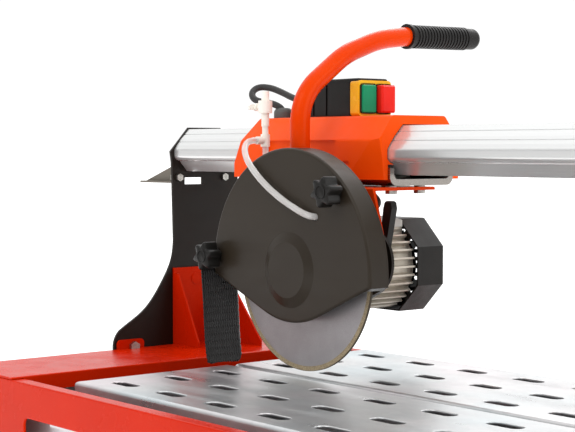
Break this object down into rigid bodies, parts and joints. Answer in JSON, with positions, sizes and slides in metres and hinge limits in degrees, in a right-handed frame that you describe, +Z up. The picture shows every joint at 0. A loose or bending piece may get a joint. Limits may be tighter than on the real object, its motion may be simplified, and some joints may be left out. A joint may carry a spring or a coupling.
{
  "type": "tile cutter",
  "caption": "Wet tile saw on legs: a blade head with motor and guard slides on an overhead rail, plunges, and tilts with its bridge over a slotted table and water tray.",
  "frame": {"origin": "on the floor, under the middle of the whole machine", "axes": "+X along the rail towards the right-hand end, +Y from the operator's side to the back, +Z up"},
  "size_m": [1.322, 0.6021, 1.2251],
  "materials": {
    "frame_paint": "gloss orange powder coat",
    "housing_paint": "fine textured orange coat on a casting",
    "dark_paint": "satin black powder coat",
    "guard_paint": "satin dark grey",
    "galvanised": "galvanised sheet",
    "zinc_steel": "zinc plated",
    "rail_aluminium": "drawn satin",
    "channel_aluminium": "polished",
    "cast_aluminium": "die cast",
    "blade_steel": "blasted steel with a sintered rim",
    "black_plastic": "moulded",
    "grey_plastic": "moulded",
    "yellow_plastic": "moulded",
    "green_plastic": "moulded",
    "red_plastic": "moulded",
    "white_plastic": "moulded",
    "clear_hose": "soft clear tube",
    "cable_rubber": "matt sheath",
    "rubber": "moulded rubber"
  },
  "bodies": {
    "frame": {"front_panel": "frame_paint", "rear_panel": "frame_paint", "left_end_deck": "frame_paint", "right_end_deck": "frame_paint", "left_upright": "frame_paint", "right_upright": "frame_paint", "tilt_bolts": "zinc_steel", "table_front": "galvanised", "table_rear": "galvanised", "table_rests": "galvanised", "water_tray": "galvanised", "water_pump": "black_plastic", "leg_front_left": "frame_paint", "leg_front_right": "frame_paint", "leg_rear_left": "frame_paint", "leg_rear_right": "frame_paint", "leg_sockets": "frame_paint", "rubber_feet": "rubber"},
    "bridge": {"left_bridge_plate": "dark_paint", "right_bridge_plate": "dark_paint", "rail": "rail_aluminium", "side_brackets": "dark_paint", "rail_bolts": "zinc_steel"},
    "left_tilt_lever": {"left_tilt_lever": "black_plastic"},
    "right_tilt_lever": {"right_tilt_lever": "black_plastic"},
    "carriage": {"carriage_housing": "housing_paint", "slide_pads": "white_plastic", "lower_channel": "channel_aluminium", "head_bracket": "frame_paint", "carriage_bolts": "zinc_steel", "switch_box": "black_plastic", "switch_plate": "yellow_plastic", "cable_gland": "grey_plastic", "switch_cable": "cable_rubber", "motor_cable": "cable_rubber"},
    "roller_left": {"roller_left": "zinc_steel"},
    "roller_right": {"roller_right": "zinc_steel"},
    "start_button": {"start_button": "green_plastic"},
    "stop_button": {"stop_button": "red_plastic"},
    "depth_lever": {"depth_lever": "black_plastic"},
    "head": {"head_plate": "dark_paint", "guard_cover": "guard_paint", "guard_back": "guard_paint", "motor_body": "cast_aluminium", "motor_cover": "grey_plastic", "fan_cover": "black_plastic", "handle_tube": "frame_paint", "handle_grip": "rubber", "splash_flap": "rubber", "water_tap": "white_plastic", "hose_tee": "white_plastic", "front_hose": "clear_hose", "rear_hose": "clear_hose"},
    "tap_lever": {"tap_lever": "white_plastic"},
    "upper_guard_knob": {"upper_guard_knob": "black_plastic"},
    "lower_guard_knob": {"lower_guard_knob": "black_plastic"},
    "spindle": {"blade": "blade_steel", "blade_flanges": "zinc_steel", "motor_shaft": "zinc_steel", "motor_fan": "black_plastic"}
  },
  "joints": [
    {"name": "bridge_tilt", "type": "hinge", "parent": "frame", "child": "bridge", "pos_m": [-0.563, -0.029, 0.779], "axis": [1, 0, 0], "range_deg": [0, 45], "deforming": ["splash_flap"]},
    {"name": "carriage_slide", "type": "slide", "parent": "bridge", "child": "carriage", "axis": [1, 0, 0], "range_m": [-0.15, 0.57]},
    {"name": "head_plunge", "type": "hinge", "parent": "carriage", "child": "head", "pos_m": [-0.328, 0.004, 0.983], "axis": [0, 1, 0], "range_deg": [-7, 5], "deforming": ["motor_cable"]},
    {"name": "blade_spin", "type": "hinge", "parent": "head", "child": "spindle", "pos_m": [-0.178, -0.029, 0.913], "axis": [0, 1, 0], "continuous": true},
    {"name": "roller_left_spin", "type": "hinge", "parent": "carriage", "child": "roller_left", "pos_m": [-0.372, 0.1, 1.0199], "axis": [0, 1, 0], "range_deg": [-4120, 1120]},
    {"name": "roller_right_spin", "type": "hinge", "parent": "carriage", "child": "roller_right", "pos_m": [-0.152, 0.1, 1.0199], "axis": [0, 1, 0], "range_deg": [-4120, 1120]},
    {"name": "start_press", "type": "slide", "parent": "carriage", "child": "start_button", "axis": [-1, 0, 0], "range_m": [0, 0.003], "stiffness_N_per_m": 400, "springref_m": -0.002},
    {"name": "stop_press", "type": "slide", "parent": "carriage", "child": "stop_button", "axis": [-1, 0, 0], "range_m": [0, 0.004], "stiffness_N_per_m": 500, "springref_m": -0.002},
    {"name": "depth_lever_turn", "type": "hinge", "parent": "carriage", "child": "depth_lever", "pos_m": [-0.094, 0.021, 0.925], "axis": [0, 1, 0], "range_deg": [0, 70]},
    {"name": "tap_turn", "type": "hinge", "parent": "head", "child": "tap_lever", "pos_m": [-0.299, -0.007, 1.119], "axis": [1, 0, 0], "range_deg": [0, 90]},
    {"name": "upper_knob_turn", "type": "hinge", "parent": "head", "child": "upper_guard_knob", "pos_m": [-0.09, -0.066, 1.01], "axis": [0, 1, 0], "continuous": true},
    {"name": "lower_knob_turn", "type": "hinge", "parent": "head", "child": "lower_guard_knob", "pos_m": [-0.324, -0.066, 0.923], "axis": [0, 1, 0], "continuous": true},
    {"name": "left_tilt_lever_turn", "type": "hinge", "parent": "frame", "child": "left_tilt_lever", "pos_m": [-0.574, 0.081, 0.871], "axis": [1, 0, 0], "range_deg": [-60, 60]},
    {"name": "right_tilt_lever_turn", "type": "hinge", "parent": "frame", "child": "right_tilt_lever", "pos_m": [0.574, 0.081, 0.871], "axis": [1, 0, 0], "range_deg": [-60, 60]}
  ],
  "couplings": [
    {"joint": "roller_left_spin", "follows": "carriage_slide", "rad_per_m": -125},
    {"joint": "roller_right_spin", "follows": "carriage_slide", "rad_per_m": -125}
  ]
}
